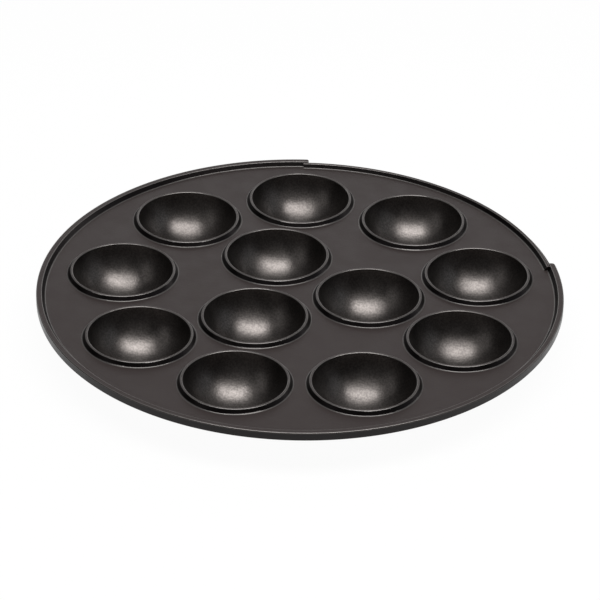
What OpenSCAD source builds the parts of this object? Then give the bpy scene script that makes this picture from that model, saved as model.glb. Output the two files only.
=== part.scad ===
// Round baking plate for cake pops: twelve bowls with raised lips in a dark coated aluminium casting.
// The plate lies flat with its bowls opening upwards. The origin is under its middle, on the surface
// that it stands on, and the recess in its rim faces +Y. Lengths are in millimetres.

/* [Cups] */
// Number of cups in the outer ring
outer_cups = 9; // [9:1:12]
// Number of cups in the inner ring
inner_cups = 3; // [2:1:3]
// Diameter of a cup's mouth
cup_d = 40; // [36:0.5:46]
// Depth of a cup below the top of its lip
cup_depth = 18; // [12:0.5:18]
// Thickness of a cup's wall
cup_wall = 2.2; // [1.6:0.1:3]
// Diameter of the small flat under each cup
foot_d = 8; // [4:0.5:14]
// Narrowest deck between the seams of two outer cups
outer_gap = 3.44; // [3:0.02:10]
// Narrowest deck between the seams of two inner cups
inner_gap = 2.04; // [1:0.02:5]

/* [Lips] */
// Height of a lip above the deck
lip_h = 1.85; // [1.5:0.05:3]
// Width of a lip between the mouth and the side of its rounded top
lip_w = 1.2; // [1:0.05:1.3]
// Radius of the rounded top of a lip
lip_round = 0.7; // [0.7:0.05:0.9]
// Radius of the hollow fillet where a lip meets the deck
lip_fillet = 0.8; // [0.3:0.05:1]
// Flat ring round a lip's fillet, out to the seam with the deck
lip_flat = 0.3; // [0.2:0.1:1]

/* [Deck] */
// Lean of the lips' outer faces and of the rim's inner face
draft = 35; // [15:1:40]
// Thickness of the deck between the cups
deck_t = 2.4; // [2.2:0.1:4]
// Flat deck between the outer cups' seams and the flange
deck_margin = 3.6; // [1:0.1:8]
// How far the deck's edge tapers in below the flange
deck_taper = 0.6; // [0.2:0.1:1.5]

/* [Rim] */
// Height of the rim above the deck
rim_h = 1.9; // [1.6:0.1:4]
// Width of the rim's top, with its rounded edges
rim_w = 2.4; // [1.8:0.1:4]
// Radius of the rim's outer top edge
rim_outer_round = 0.5; // [0.3:0.05:0.9]
// Radius of the rim's inner top edge
rim_inner_round = 0.5; // [0.3:0.05:0.6]
// Radius of the hollow fillet where the rim meets the deck
rim_fillet = 0.8; // [0.3:0.1:1]
// Thickness of the flange that carries the rim
flange_t = 1.5; // [1:0.1:2]
// Radius of the flange's lower outer edge
flange_round = 0.3; // [0.1:0.05:0.5]
// Flat strip between the flange's seam and the fillet in the recess
flange_flat = 0.9; // [0.5:0.1:4]

/* [Recess in the rim] */
// Angle of the recess, centred on +Y
recess_angle = 76.2; // [40:0.2:120]
// How far the rim's inner face steps inwards along the recess
recess_step = 1.4; // [0.5:0.1:2]
// Thickness of the rim's wall along the recess
recess_wall = 1.5; // [1.1:0.1:2]
// Flange that shows outside the wall along the recess
recess_ledge = 1.2; // [0.3:0.1:1.8]
// How much lower the rim's top is along the recess
recess_drop = 0.2; // [0:0.05:0.4]
// How far the recess's wall runs on behind each end of the full rim
recess_lap = 2.2; // [0.5:0.1:4]
// Radius of the upright edge at each end of the full rim
recess_end_round = 1.6; // [0.4:0.1:2]

/* [Hidden] */
$fn = 96;
// Small overlap that lets neighbouring outlines merge
merge = 0.2;
// Share of a rounding's radius at which straight faces run into it, just short of 1 for a clean edge
inside = 0.99;
// Direction of the recess
recess_dir = 90;
coat_colour = [0.27, 0.26, 0.255];
cup_colour = [0.2, 0.195, 0.195];

// Bowl: a ball that passes through the mouth and the bottom
mouth_r = cup_d / 2;
bowl_r = (mouth_r * mouth_r + cup_depth * cup_depth) / (2 * cup_depth);
dome_r = bowl_r + cup_wall;
foot_drop = sqrt(dome_r * dome_r - foot_d * foot_d / 4);

// Heights above the surface that the plate stands on
bowl_z = foot_drop;
lip_z = bowl_z - bowl_r + cup_depth;
deck_z = lip_z - lip_h;
under_z = deck_z - deck_t;
seat_z = deck_z - flange_t;
rim_z = deck_z + rim_h;

// Radii about a cup's own axis
lip_mid_r = mouth_r + lip_w - lip_round;
seam_r = lip_mid_r + bank_w(lip_h, lip_round, lip_fillet) + lip_flat;

// Circles that the cups stand on
inner_pitch = (2 * seam_r + inner_gap) / (2 * sin(180 / inner_cups));
outer_pitch = (2 * seam_r + outer_gap) / (2 * sin(180 / outer_cups));

// Radii about the plate's axis
flange_r = outer_pitch + seam_r + deck_margin;
rim_bank_w = bank_w(rim_h - recess_drop, rim_inner_round, rim_fillet) - rim_inner_round;
plate_r = flange_r + flange_flat + rim_bank_w + recess_step + rim_w;
rim_in = plate_r - rim_w;
recess_in = rim_in - recess_step;
recess_out = recess_in + recess_wall;
recess_edge_r = recess_out + recess_ledge;
lap_angle = asin(recess_lap / plate_r);

// Width of a leaning face of height h, from the middle of its rounded top to the end of its fillet
function bank_w(h, top_r, foot_r) =
    (top_r + sin(draft) * (h - top_r)) / cos(draft) + foot_r * tan(45 - draft / 2);

// Point at distance 1 in the direction a
function ray(a) = [cos(a), sin(a)];

// Places a child on the pitch circle of the outer cups, the first one behind the recess
module at_outer(i) {
    rotate(recess_dir + (i - 1) * 360 / outer_cups)
        translate([outer_pitch, 0, 0]) children();
}

// Places a child on the pitch circle of the inner cups, turned half a step
module at_inner(i) {
    rotate(recess_dir + (i - 0.5) * 360 / inner_cups)
        translate([inner_pitch, 0, 0]) children();
}

// Leaning side of a raised edge of height h, from the middle of its rounded top at x = 0 to its fillet
module bank(h, top_r, foot_r) {
    top = [0, h - top_r];
    foot = [bank_w(h, top_r, foot_r), foot_r];
    translate(top) circle(top_r);
    difference() {
        polygon([
            [0, -merge],
            [foot.x, -merge],
            foot,
            foot - inside * foot_r * ray(draft),
            top + inside * top_r * ray(draft),
            top
        ]);
        translate(foot) circle(foot_r);
    }
}

// What is taken off an outer corner at [0, 0] to round it, with the solid towards -X and -Y
module corner(r) {
    translate([-r, -r]) difference() {
        square(r + merge);
        circle(r);
    }
}

// Half outline of a cup: dome, collar in the deck, and lip, less the bowl
module cup_outline() {
    difference() {
        union() {
            intersection() {
                translate([0, bowl_z]) circle(dome_r);
                square([seam_r, deck_z]);
            }
            translate([0, under_z]) square([seam_r, deck_t]);
            translate([0, under_z]) square([lip_mid_r, lip_z - lip_round - under_z]);
            translate([lip_mid_r, deck_z]) bank(lip_h, lip_round, lip_fillet);
        }
        translate([0, bowl_z]) circle(bowl_r);
        translate([-dome_r, 0]) square([dome_r, lip_z]);
    }
}

module cup() {
    color(cup_colour) rotate_extrude() cup_outline();
}

// Half outline of the deck, with its edge tapered below the flange
module deck_outline() {
    polygon([
        [0, under_z],
        [flange_r - deck_taper, under_z],
        [flange_r, seat_z],
        [flange_r, deck_z],
        [0, deck_z]
    ]);
}

// Flat plate between the cups and the flange, bored for each cup
module deck() {
    color(coat_colour) difference() {
        rotate_extrude() deck_outline();
        for (i = [1:outer_cups]) at_outer(i) cup_bore();
        for (i = [1:inner_cups]) at_inner(i) cup_bore();
    }
}

module cup_bore() {
    translate([0, 0, under_z - merge]) cylinder(r = seam_r, h = deck_t + 2 * merge);
}

// Half outline of a wall of the rim, which leans towards the deck on its inner side
module wall_outline(wall_in, wall_out, base_z, top_z, outer_round) {
    middle = wall_in + rim_inner_round;
    difference() {
        union() {
            translate([middle, base_z]) square([wall_out - middle, top_z - base_z]);
            translate([middle, deck_z]) mirror([1, 0])
                bank(top_z - deck_z, rim_inner_round, rim_fillet);
        }
        translate([wall_out, top_z]) corner(outer_round);
    }
}

// Thin flange round the whole plate, out to its edge in the recess
module flange() {
    rotate_extrude() difference() {
        translate([flange_r, seat_z]) square([recess_edge_r - flange_r, flange_t]);
        translate([recess_edge_r, seat_z]) mirror([0, 1]) corner(flange_round);
    }
}

// Plan of the recess: a sector that flares round the outer corners of the full rim's ends
module recess_plan() {
    right = recess_dir - recess_angle / 2;
    left = recess_dir + recess_angle / 2;
    right_mid = (plate_r - recess_end_round) * ray(right) + recess_end_round * ray(right - 90);
    left_mid = (plate_r - recess_end_round) * ray(left) + recess_end_round * ray(left + 90);
    difference() {
        polygon([
            [0, 0],
            right_mid + inside * recess_end_round * ray(right + 90),
            right_mid,
            2 * right_mid,
            2 * plate_r * ray(recess_dir),
            2 * left_mid,
            left_mid,
            left_mid + inside * recess_end_round * ray(left - 90)
        ]);
        translate(right_mid) circle(recess_end_round);
        translate(left_mid) circle(recess_end_round);
    }
}

// Plan of the narrower rim: a sector that runs on behind the ends of the full rim
module recess_rim_plan() {
    polygon([
        [0, 0],
        2 * plate_r * ray(recess_dir - recess_angle / 2 - lap_angle),
        2 * plate_r * ray(recess_dir),
        2 * plate_r * ray(recess_dir + recess_angle / 2 + lap_angle)
    ]);
}

// Upright block on a plan, past the rim at the top and at the bottom
module upright() {
    translate([0, 0, seat_z - merge]) linear_extrude(flange_t + rim_h + 2 * merge) children();
}

// Full rim, round all the plate but the recess
module full_rim() {
    difference() {
        rotate_extrude() difference() {
            wall_outline(rim_in, plate_r, seat_z, rim_z, rim_outer_round);
            translate([plate_r, seat_z]) mirror([0, 1]) corner(flange_round);
        }
        upright() recess_plan();
    }
}

// Narrower rim along the recess
module recess_rim() {
    intersection() {
        rotate_extrude()
            wall_outline(recess_in, recess_out, deck_z - merge, rim_z - recess_drop, rim_inner_round);
        upright() recess_rim_plan();
    }
}

// Thin flange and raised rim, which is set back along the recess
module rim() {
    color(coat_colour) {
        flange();
        full_rim();
        recess_rim();
    }
}

deck();
rim();
for (i = [1:outer_cups]) {
    at_outer(i) cup();
}
for (i = [1:inner_cups]) {
    at_inner(i) cup();
}
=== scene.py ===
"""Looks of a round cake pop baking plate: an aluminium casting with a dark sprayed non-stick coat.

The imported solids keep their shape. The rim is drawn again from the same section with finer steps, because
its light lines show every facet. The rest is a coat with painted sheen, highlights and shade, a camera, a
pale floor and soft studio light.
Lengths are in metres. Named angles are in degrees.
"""

import math

import bpy
from mathutils import Matrix, Vector

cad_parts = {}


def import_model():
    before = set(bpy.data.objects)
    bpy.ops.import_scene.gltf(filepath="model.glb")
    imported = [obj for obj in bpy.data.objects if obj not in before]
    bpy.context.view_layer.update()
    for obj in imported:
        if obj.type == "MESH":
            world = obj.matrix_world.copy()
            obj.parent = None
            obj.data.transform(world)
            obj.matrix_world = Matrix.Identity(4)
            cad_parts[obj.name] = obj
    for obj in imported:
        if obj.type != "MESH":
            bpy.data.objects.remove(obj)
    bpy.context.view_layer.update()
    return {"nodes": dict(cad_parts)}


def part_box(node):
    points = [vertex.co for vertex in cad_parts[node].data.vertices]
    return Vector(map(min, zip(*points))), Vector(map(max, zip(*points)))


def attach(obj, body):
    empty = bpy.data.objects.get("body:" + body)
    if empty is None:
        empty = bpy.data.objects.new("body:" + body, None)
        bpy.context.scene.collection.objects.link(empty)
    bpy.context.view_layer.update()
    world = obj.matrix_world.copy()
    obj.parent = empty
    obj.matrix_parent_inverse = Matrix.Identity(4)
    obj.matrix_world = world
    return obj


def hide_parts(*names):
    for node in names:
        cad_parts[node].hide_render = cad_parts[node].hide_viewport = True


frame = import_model()

MM = 0.001

# Camera, and the point just below the tops of the lips that it looks at, from the plate's axis
VIEW_AZIMUTH = 39.63
VIEW_ELEVATION = 31.44
VIEW_ROLL = 0.95
VIEW_DISTANCE = 1377.6 * MM
VIEW_LENS = 209.6
SENSOR_WIDTH = 36.0
AIM_RIGHT = 0.04 * MM
AIM_FRONT = 9.22 * MM
AIM_BELOW_LIP = 0.2 * MM

# Rim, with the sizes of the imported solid
RIM_WIDTH = 2.4 * MM
RIM_ROUND = 0.5 * MM
RIM_FILLET = 0.8 * MM
RIM_LEAN = 35.0
FLANGE_ROUND = 0.3 * MM
FLANGE_STRIP = 0.9 * MM
RECESS_ANGLE = 76.2
RECESS_STEP = 1.4 * MM
RECESS_WALL = 1.5 * MM
RECESS_LEDGE = 1.2 * MM
RECESS_DROP = 0.2 * MM
RECESS_LAP = 2.2 * MM
RECESS_END_ROUND = 1.6 * MM

# Steps of the rim's mesh, and how far its inner strip runs on and dips under the deck's edge
SWEEP_STEP = 0.5
ARC_STEPS = 8
END_STEPS = 6
STRIP_RUN = 0.3 * MM
STRIP_DIP = 0.01 * MM
# Vertices closer together than this make one corner of a face
SAME_PLACE = 1e-9

# Coat: a dark pigment in a low-gloss resin on level faces, with painted shade on upright faces, and a
# metallic flake on slopes whose strong reflection is a painted sheen
PIGMENT = (0.0258, 0.0187, 0.0177)
PIGMENT_LIGHT = (0.0313, 0.0236, 0.0226)
UPRIGHT_PAINTED_SHADE = (0.0035, 0.0016, 0.0015)
PAINTED_SHEEN = (0.0855, 0.0775, 0.0735)
PAINTED_SHEEN_LIGHT = (0.1275, 0.1155, 0.1095)
RESIN_IOR = 1.33

# Colours of the raised edges: painted shade on their leaning faces, and painted highlight on their fillets
# and tops, and how metallic that painted highlight is
FACE_PAINTED_SHADE = (0.014, 0.012, 0.012)
FILLET_PAINTED_HIGHLIGHT = (0.100, 0.0935, 0.090)
EDGE_PAINTED_HIGHLIGHT = (0.127, 0.1185, 0.114)
RIM_EDGE_PAINTED_HIGHLIGHT = (0.155, 0.1445, 0.139)
PAINTED_HIGHLIGHT_METAL = 0.7

# Roughness of the coat by where it lies, and how far the mottling shifts it
DECK_ROUGHNESS = 0.5
BOWL_ROUGHNESS = 0.35
EDGE_ROUGHNESS = 0.34
WALL_ROUGHNESS = 0.3
ROUGHNESS_SPREAD = 0.04

# Cloudy patterns of the coat: size, fineness, and the range of the pattern's numbers that is used
GRAIN_SIZE = 0.7 * MM
GRAIN_DETAIL = 3.0
GRAIN_BREAKUP = 0.6
GRAIN_RANGE = (0.35, 0.65)
MOTTLE_SIZE = 9.0 * MM
MOTTLE_DETAIL = 4.0
MOTTLE_RANGE = (0.3, 0.7)
PEEL_SIZE = 3.5 * MM
PEEL_DETAIL = 1.0
PIT_SPACING = 1.3 * MM
PIT_RANGE = (0.08, 0.2)

# Relief of the coat: the depth of its grain, and the shares of orange peel and pits in it
GRAIN_DEPTH = 0.035 * MM
PEEL_SHARE = 0.6
PIT_SHARE = 0.3

# Height part of the normal where upright faces turn into slopes, and slopes into level faces
SLOPE_START = (0.03, 0.12)
SLOPE_END = (0.965, 0.995)
# Height part of the normal where the painted shade of raised edges starts, and where it turns into painted
# highlight
FACE_START = (0.25, 0.45)
FACE_END = (0.60, 0.78)
# Heights from the deck's top: end of the bowls' bottoms, start of the raised edges, end of their fillets
BOTTOM_END = (-6.0 * MM, -5.0 * MM)
EDGE_START = (-0.6 * MM, -0.1 * MM)
FILLET_END = (0.5 * MM, 1.2 * MM)

# Floor, and how much of it is plain white where it is seen directly
FLOOR_SIZE = 12.0
FLOOR_COLOUR = (0.95, 0.95, 0.95, 1.0)
FLOOR_ROUGHNESS = 0.9
FLOOR_GLOW = 0.96
WHITE = (1.0, 1.0, 1.0, 1.0)

# Light of the room: bright away from the camera, dimmer to both sides and overhead, and less as fill light
BACKDROP_EDGES = (0.0, 0.6)
BACKDROP_LEVEL = 0.72
ROOM_LEVEL = 0.04
SIDE_EDGES = (0.15, 0.55)
SIDE_LEVEL = 0.3
CEILING_EDGES = (0.65, 0.95)
CEILING_LEVEL = 0.3
FILL_LEVEL = 0.5

# Lamps
LAMP_DISTANCE = 1.2
REAR_DISTANCE = 0.245
NEUTRAL_LIGHT = (1.0, 1.0, 1.0)
COOL_LIGHT = (0.88, 0.94, 1.0)

# View basis: to the right of the picture, away from the camera, and up
azimuth, elevation, roll = (math.radians(angle) for angle in (VIEW_AZIMUTH, VIEW_ELEVATION, VIEW_ROLL))
RIGHT = Vector((math.cos(azimuth), math.sin(azimuth), 0.0))
AWAY = Vector((-math.sin(azimuth), math.cos(azimuth), 0.0))
UP = Vector((0.0, 0.0, 1.0))

lip_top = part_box("outer_cup_1")[1].z
deck_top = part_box("deck")[1].z
rim_low, rim_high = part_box("rim")


def link(obj):
    """Puts a new object in the scene."""
    bpy.context.scene.collection.objects.link(obj)
    return obj


def arc(middle, radius, start, end, hollow=False):
    """Arc in a half section, as a list of points.

    A point is its radius and height, then the outward, upward and sideways parts of its normal.
    """
    facing = -1.0 if hollow else 1.0
    points = []
    for step in range(ARC_STEPS + 1):
        angle = math.radians(start + (end - start) * step / ARC_STEPS)
        out, up = math.cos(angle), math.sin(angle)
        points.append((middle[0] + radius * out, middle[1] + radius * up, facing * out, facing * up, 0.0))
    return points


def wall_foot(inner, top):
    """Radius at which the fillet of a wall of the rim runs out on the deck."""
    lean = math.radians(RIM_LEAN)
    face = (RIM_ROUND + math.sin(lean) * (top - deck_top - RIM_ROUND)) / math.cos(lean)
    return inner + RIM_ROUND - face - RIM_FILLET * math.tan(math.pi / 4 - lean / 2)


def wall_section(strip_in, inner, outer, top):
    """Half section of a wall of the rim, from the strip at its foot over its top and down to the deck."""
    foot = wall_foot(inner, top)
    round_height = top - RIM_ROUND
    return (
        [(strip_in, deck_top - STRIP_DIP, 0.0, 1.0, 0.0)]
        + arc((foot, deck_top + RIM_FILLET), RIM_FILLET, -90, -RIM_LEAN, hollow=True)
        + arc((inner + RIM_ROUND, round_height), RIM_ROUND, 180 - RIM_LEAN, 90)
        + arc((outer - RIM_ROUND, round_height), RIM_ROUND, 90, 0)
        + [(outer, deck_top, 1.0, 0.0, 0.0)]
    )


def flange_section(strip_in, ledge_in, outer):
    """Half section of the flange: ledge, outer edge, and underside in to the deck."""
    ledge = [(ledge_in, deck_top, 0.0, 1.0, 0.0), (outer, deck_top, 0.0, 1.0, 0.0)]
    edge = [(outer, deck_top, 1.0, 0.0, 0.0)]
    edge += arc((outer - FLANGE_ROUND, rim_low.z + FLANGE_ROUND), FLANGE_ROUND, 0, -90)
    return ledge + edge + [(strip_in, rim_low.z, 0.0, -1.0, 0.0)]


def rounded_end(section, turn, side, outer, ledge):
    """The full rim's section near one of its ends, where an upright rounding cuts its outer side back."""
    cut = outer - RECESS_END_ROUND * (1 - math.sin(turn))
    points = []
    for radius, height, out, up, aside in section:
        level = up == 1.0
        on_flange = height < deck_top or (level and height == deck_top)
        limit = max(cut, ledge) if on_flange else cut
        if radius <= limit:
            points.append((radius, height, out, up, aside))
        elif level:
            points.append((limit, height, 0.0, 1.0, 0.0))
        else:
            points.append((limit, height, math.sin(turn), 0.0, side * math.cos(turn)))
    return points


def turned(angle, out, up, aside=0.0):
    """A point or a normal of a half section, turned about the plate's axis."""
    return (
        out * math.cos(angle) - aside * math.sin(angle),
        out * math.sin(angle) + aside * math.cos(angle),
        up,
    )


def sweep(shell, rows):
    """Adds the surface through rows of an angle and a half section."""
    vertices, normals, faces = shell
    start = len(vertices)
    count = len(rows[0][1])
    for angle, section in rows:
        for radius, height, out, up, aside in section:
            vertices.append(turned(angle, radius, height))
            normals.append(turned(angle, out, up, aside))
    for row in range(len(rows) - 1):
        for point in range(count - 1):
            near = start + row * count + point
            corners = []
            for vertex in (near, near + 1, near + count + 1, near + count):
                if all(math.dist(vertices[vertex], vertices[other]) > SAME_PLACE for other in corners):
                    corners.append(vertex)
            if len(corners) > 2:
                faces.append(corners)


def cap(shell, row, count, side):
    """Adds a flat face at an end of a wall: the count points after the strip, facing back or onward."""
    vertices, normals, faces = shell
    angle, section = row
    corners = list(range(len(vertices), len(vertices) + count))
    for radius, height, *_ in section[1:count + 1]:
        vertices.append(turned(angle, radius, height))
        normals.append(turned(angle, 0.0, 0.0, side))
    faces.append(corners if side > 0 else corners[::-1])


def capped_sweep(shell, rows, count):
    """Adds a swept wall with caps at both ends."""
    sweep(shell, rows)
    cap(shell, rows[0], count, -1.0)
    cap(shell, rows[-1], count, 1.0)


def span(start, end):
    """Angles from start to end in radians, in equal steps."""
    steps = math.ceil((end - start) / math.radians(SWEEP_STEP))
    return [start + (end - start) * step / steps for step in range(steps + 1)]


def rim_shell():
    """Rim in fine steps: the full wall, and along the recess at +Y the narrower wall on its ledge."""
    outer = min(rim_high.x, -rim_low.x, -rim_low.y)
    inner = outer - RIM_WIDTH
    recess_in = inner - RECESS_STEP
    recess_out = recess_in + RECESS_WALL
    ledge = recess_out + RECESS_LEDGE
    recess_top = rim_high.z - RECESS_DROP
    strip_in = wall_foot(recess_in, recess_top) - FLANGE_STRIP - STRIP_RUN
    recess_wall = wall_section(strip_in, recess_in, recess_out, recess_top)
    full_wall = wall_section(strip_in, inner, outer, rim_high.z)
    full = full_wall + flange_section(strip_in, outer, outer)

    middle = math.pi / 2
    half = math.radians(RECESS_ANGLE / 2)
    lap = math.asin(RECESS_LAP / outer)
    first = middle + half
    last = middle + 2 * math.pi - half
    turns = [math.pi / 2 * step / END_STEPS for step in range(END_STEPS)]
    ends = [(turn, RECESS_END_ROUND * (1 - math.cos(turn)) / outer) for turn in turns]
    reach = RECESS_END_ROUND / outer
    rows = [(first + back, rounded_end(full, turn, -1.0, outer, ledge)) for turn, back in ends]
    rows += [(angle, full) for angle in span(first + reach, last - reach)]
    rows += [(last - back, rounded_end(full, turn, 1.0, outer, ledge)) for turn, back in reversed(ends)]

    shell = ([], [], [])
    capped_sweep(shell, rows, len(full_wall) - 1)
    flange = flange_section(strip_in, recess_out, ledge)
    sweep(shell, [(angle, flange) for angle in span(middle - half, middle + half)])
    lapped = span(middle - half - lap, middle + half + lap)
    capped_sweep(shell, [(angle, recess_wall) for angle in lapped], len(recess_wall) - 1)

    vertices, normals, faces = shell
    mesh = bpy.data.meshes.new("rim_shell")
    mesh.from_pydata(vertices, [], faces)
    mesh.polygons.foreach_set("use_smooth", [True] * len(mesh.polygons))
    mesh.normals_split_custom_set_from_vertices(normals)
    return link(bpy.data.objects.new("rim_shell", mesh))


def add(tree, kind, inputs=(), **settings):
    """Adds a node. Inputs are pairs of a socket's name or number and a value or another node's output."""
    node = tree.nodes.new(kind)
    for key, value in settings.items():
        setattr(node, key, value)
    for key, value in inputs:
        if isinstance(value, bpy.types.NodeSocket):
            tree.links.new(value, node.inputs[key])
        else:
            node.inputs[key].default_value = value
    return node


def calc(tree, operation, first, second=0.0):
    """One sum on two numbers."""
    return add(tree, "ShaderNodeMath", ((0, first), (1, second)), operation=operation).outputs[0]


def remap(tree, value, low, high, to_low=0.0, to_high=1.0):
    """A smooth step from to_low to to_high while the value goes from low to high."""
    return add(
        tree,
        "ShaderNodeMapRange",
        (("Value", value), ("From Min", low), ("From Max", high), ("To Min", to_low), ("To Max", to_high)),
        interpolation_type="SMOOTHSTEP",
    ).outputs["Result"]


def fade(tree, amount, start, end):
    """A smooth step from start to end while the amount goes from 0 to 1."""
    return remap(tree, amount, 0.0, 1.0, start, end)


def above_deck(tree, level, heights):
    """A smooth step from 0 to 1 between two heights, which count from the deck's top."""
    return remap(tree, level, deck_top + heights[0], deck_top + heights[1])


def noise(tree, place, size, detail, breakup=0.5):
    """Cloudy numbers from 0 to 1 with lumps of about the given size."""
    return add(
        tree,
        "ShaderNodeTexNoise",
        (("Vector", place), ("Scale", 1.0 / size), ("Detail", detail), ("Roughness", breakup)),
    ).outputs["Fac"]


def part(tree, vector, axis):
    """One axis of a vector."""
    return add(tree, "ShaderNodeSeparateXYZ", (("Vector", vector),)).outputs[axis]


def along(tree, vector, direction):
    """The part of a vector along a fixed direction."""
    inputs = ((0, vector), (1, direction))
    return add(tree, "ShaderNodeVectorMath", inputs, operation="DOT_PRODUCT").outputs["Value"]


def blend(tree, amount, first, second):
    """A colour between two colours."""
    mix = add(tree, "ShaderNodeMix", data_type="RGBA", clamp_factor=True)
    sockets = {socket.identifier: socket for socket in mix.inputs}
    for name, value in (("Factor_Float", amount), ("A_Color", first), ("B_Color", second)):
        if isinstance(value, bpy.types.NodeSocket):
            tree.links.new(value, sockets[name])
        else:
            sockets[name].default_value = (*value, 1.0)
    return next(socket for socket in mix.outputs if socket.identifier == "Result_Color")


def coat_relief(tree, place, grain):
    """Normal of the sprayed coat, with its grain, a faint orange peel and small pits."""
    peel = noise(tree, place, PEEL_SIZE, PEEL_DETAIL)
    spots = add(tree, "ShaderNodeTexVoronoi", (("Vector", place), ("Scale", 1.0 / PIT_SPACING)))
    pit = remap(tree, spots.outputs["Distance"], *PIT_RANGE)
    height = calc(tree, "ADD", grain, calc(tree, "MULTIPLY", peel, PEEL_SHARE))
    height = calc(tree, "ADD", height, calc(tree, "MULTIPLY", pit, PIT_SHARE))
    bump = add(tree, "ShaderNodeBump", (("Height", height), ("Strength", 1.0), ("Distance", GRAIN_DEPTH)))
    return bump.outputs["Normal"]


def coat(name, edge_highlight):
    """Sprayed non-stick coat, with the given painted highlight colour on the tops of the raised edges, a
    painted sheen on slopes and painted shade on upright and leaning faces.
    """
    material = bpy.data.materials.new(name)
    material.use_nodes = True
    tree = material.node_tree
    shader = tree.nodes["Principled BSDF"]
    shader.inputs["IOR"].default_value = RESIN_IOR
    place = add(tree, "ShaderNodeTexCoord").outputs["Object"]
    level = part(tree, place, "Z")
    rise = part(tree, add(tree, "ShaderNodeNewGeometry").outputs["Normal"], "Z")
    grain = noise(tree, place, GRAIN_SIZE, GRAIN_DETAIL, GRAIN_BREAKUP)
    mottle = noise(tree, place, MOTTLE_SIZE, MOTTLE_DETAIL)

    # Where the coat lies: on a slope, which takes the painted sheen, on a raised edge, and on the part of
    # that edge that takes the painted highlight
    tilt = calc(tree, "ABSOLUTE", rise)
    leaning = remap(tree, tilt, *SLOPE_START)
    flat = calc(tree, "MULTIPLY", remap(tree, tilt, *SLOPE_END), above_deck(tree, level, BOTTOM_END))
    slope = calc(tree, "MULTIPLY", leaning, calc(tree, "SUBTRACT", 1.0, flat))
    raised = calc(tree, "MULTIPLY", above_deck(tree, level, EDGE_START), remap(tree, rise, *FACE_START))
    highlight_part = remap(tree, rise, *FACE_END)

    # Pigment mottled at random, with painted shade on upright faces
    pigment_and_shade = blend(tree, leaning, UPRIGHT_PAINTED_SHADE, blend(tree, mottle, PIGMENT, PIGMENT_LIGHT))
    # Raised edges: painted highlight on fillets and tops, painted shade on leaning faces
    edge = blend(tree, above_deck(tree, level, FILLET_END), FILLET_PAINTED_HIGHLIGHT, edge_highlight)
    edge = blend(tree, highlight_part, FACE_PAINTED_SHADE, edge)
    # Painted sheen on slopes, lighter in the coat's grain speckle
    sheen_colour = blend(tree, remap(tree, grain, *GRAIN_RANGE), PAINTED_SHEEN, PAINTED_SHEEN_LIGHT)
    sheen_colour = blend(tree, raised, sheen_colour, edge)
    tree.links.new(blend(tree, slope, pigment_and_shade, sheen_colour), shader.inputs["Base Color"])

    # Metallic on slopes for the painted sheen, less so on the painted highlight of the raised edges
    metal = fade(tree, calc(tree, "MULTIPLY", raised, highlight_part), 1.0, PAINTED_HIGHLIGHT_METAL)
    tree.links.new(calc(tree, "MULTIPLY", slope, metal), shader.inputs["Metallic"])

    sloping = fade(tree, raised, BOWL_ROUGHNESS, EDGE_ROUGHNESS)
    plain = fade(tree, leaning, WALL_ROUGHNESS, DECK_ROUGHNESS)
    roughness = fade(tree, slope, plain, sloping)
    spread = remap(tree, mottle, *MOTTLE_RANGE, -ROUGHNESS_SPREAD, ROUGHNESS_SPREAD)
    tree.links.new(calc(tree, "ADD", roughness, spread), shader.inputs["Roughness"])
    tree.links.new(coat_relief(tree, place, grain), shader.inputs["Normal"])
    return material


def seen_directly(tree):
    """1 for camera, mirror and see-through rays, which show the white background, and 0 for the rest."""
    path = add(tree, "ShaderNodeLightPath")
    seen = calc(tree, "MAXIMUM", path.outputs["Is Camera Ray"], path.outputs["Is Glossy Ray"])
    return calc(tree, "MAXIMUM", seen, path.outputs["Is Transmission Ray"])


def floor():
    """Pale floor that the plate stands on. It is white where nothing shades it."""
    half = FLOOR_SIZE / 2
    corners = [(-half, -half, 0.0), (half, -half, 0.0), (half, half, 0.0), (-half, half, 0.0)]
    mesh = bpy.data.meshes.new("floor")
    mesh.from_pydata(corners, [], [(0, 1, 2, 3)])
    material = bpy.data.materials.new("floor")
    material.use_nodes = True
    material.cycles.emission_sampling = "NONE"
    tree = material.node_tree
    shader = tree.nodes["Principled BSDF"]
    shader.inputs["Base Color"].default_value = FLOOR_COLOUR
    shader.inputs["Roughness"].default_value = FLOOR_ROUGHNESS
    glow = add(tree, "ShaderNodeEmission", (("Color", WHITE), ("Strength", 1.0)))
    share = calc(tree, "MULTIPLY", seen_directly(tree), FLOOR_GLOW)
    mix = add(
        tree,
        "ShaderNodeMixShader",
        ((0, share), (1, shader.outputs["BSDF"]), (2, glow.outputs["Emission"])),
    )
    tree.links.new(mix.outputs["Shader"], tree.nodes["Material Output"].inputs["Surface"])
    mesh.materials.append(material)
    link(bpy.data.objects.new("floor", mesh))


def world():
    """White backdrop behind the plate, in a dimmer room. Diffuse light takes a plain share of it."""
    scene_world = bpy.data.worlds.new("studio")
    scene_world.use_nodes = True
    scene_world.cycles.sampling_method = "NONE"
    bpy.context.scene.world = scene_world
    tree = scene_world.node_tree
    background = tree.nodes["Background"]
    direction = add(tree, "ShaderNodeTexCoord").outputs["Generated"]
    aside = calc(tree, "ABSOLUTE", along(tree, direction, RIGHT))
    level = remap(tree, along(tree, direction, AWAY), *BACKDROP_EDGES, ROOM_LEVEL, BACKDROP_LEVEL)
    sides = remap(tree, aside, *SIDE_EDGES, 1.0, SIDE_LEVEL)
    ceiling = remap(tree, part(tree, direction, "Z"), *CEILING_EDGES, 1.0, CEILING_LEVEL)
    level = calc(tree, "MULTIPLY", calc(tree, "MULTIPLY", level, sides), ceiling)
    share = fade(tree, seen_directly(tree), FILL_LEVEL, 1.0)
    tree.links.new(calc(tree, "MULTIPLY", level, share), background.inputs["Strength"])
    background.inputs["Color"].default_value = WHITE


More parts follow.
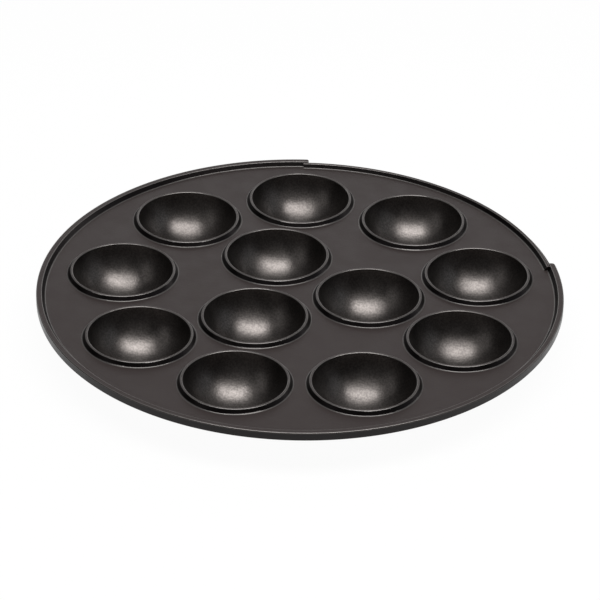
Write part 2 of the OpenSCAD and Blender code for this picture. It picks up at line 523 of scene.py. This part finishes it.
def softbox(
    name, to_right, to_front, upward, width, height, power, distance=LAMP_DISTANCE, colour=NEUTRAL_LIGHT
):
    """Area lamp that faces the plate. Its direction is in parts to the right, to the front and upward."""
    direction = (RIGHT * to_right - AWAY * to_front + UP * upward).normalized()
    side = (RIGHT - direction * RIGHT.dot(direction)).normalized()
    lamp = bpy.data.lights.new(name, "AREA")
    lamp.shape = "RECTANGLE"
    lamp.size = width
    lamp.size_y = height
    lamp.energy = power
    lamp.color = colour
    obj = link(bpy.data.objects.new(name, lamp))
    turn = Matrix((side, direction.cross(side), direction)).transposed().to_4x4()
    obj.matrix_world = Matrix.Translation(direction * distance) @ turn


def lamps():
    """A wide key lamp overhead, weak lamps at both sides, and a low strip close behind the plate."""
    softbox("key", to_right=0.065, to_front=0.295, upward=0.955, width=1.35, height=0.5, power=17.5)
    softbox("left", to_right=-0.82, to_front=0.28, upward=0.5, width=0.45, height=0.8, power=0.65)
    softbox(
        "right", to_right=0.93, to_front=0.05, upward=0.34, width=0.8, height=0.9, power=1.1,
        colour=COOL_LIGHT,
    )
    softbox("side", to_right=0.85, to_front=-0.42, upward=0.32, width=0.4, height=0.4, power=0.9)
    softbox(
        "rear", to_right=0.0, to_front=-0.90, upward=0.44, width=0.3, height=0.06, power=0.05,
        distance=REAR_DISTANCE,
    )


def camera():
    """Camera at the photograph's viewing angle."""
    back = UP * math.sin(elevation) - AWAY * math.cos(elevation)
    rise = back.cross(RIGHT)
    side = RIGHT * math.cos(roll) + rise * math.sin(roll)
    top = rise * math.cos(roll) - RIGHT * math.sin(roll)
    aim = RIGHT * AIM_RIGHT - AWAY * AIM_FRONT + UP * (lip_top - AIM_BELOW_LIP)
    data = bpy.data.cameras.new("camera")
    data.sensor_width = SENSOR_WIDTH
    data.lens = VIEW_LENS
    obj = link(bpy.data.objects.new("camera", data))
    turn = Matrix((side, top, back)).transposed().to_4x4()
    obj.matrix_world = Matrix.Translation(aim + back * VIEW_DISTANCE) @ turn
    bpy.context.scene.camera = obj


bpy.context.scene.view_settings.view_transform = "Standard"
camera()
floor()
world()
lamps()

# Coat materials with painted sheen, painted highlights and painted shade
plate_coat = coat("non_stick_coat_painted_light", EDGE_PAINTED_HIGHLIGHT)
for node in frame["nodes"].values():
    node.material_slots[0].material = plate_coat

rim = rim_shell()
rim.data.materials.append(coat("rim_coat_painted_light", RIM_EDGE_PAINTED_HIGHLIGHT))
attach(rim, "root")
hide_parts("rim")
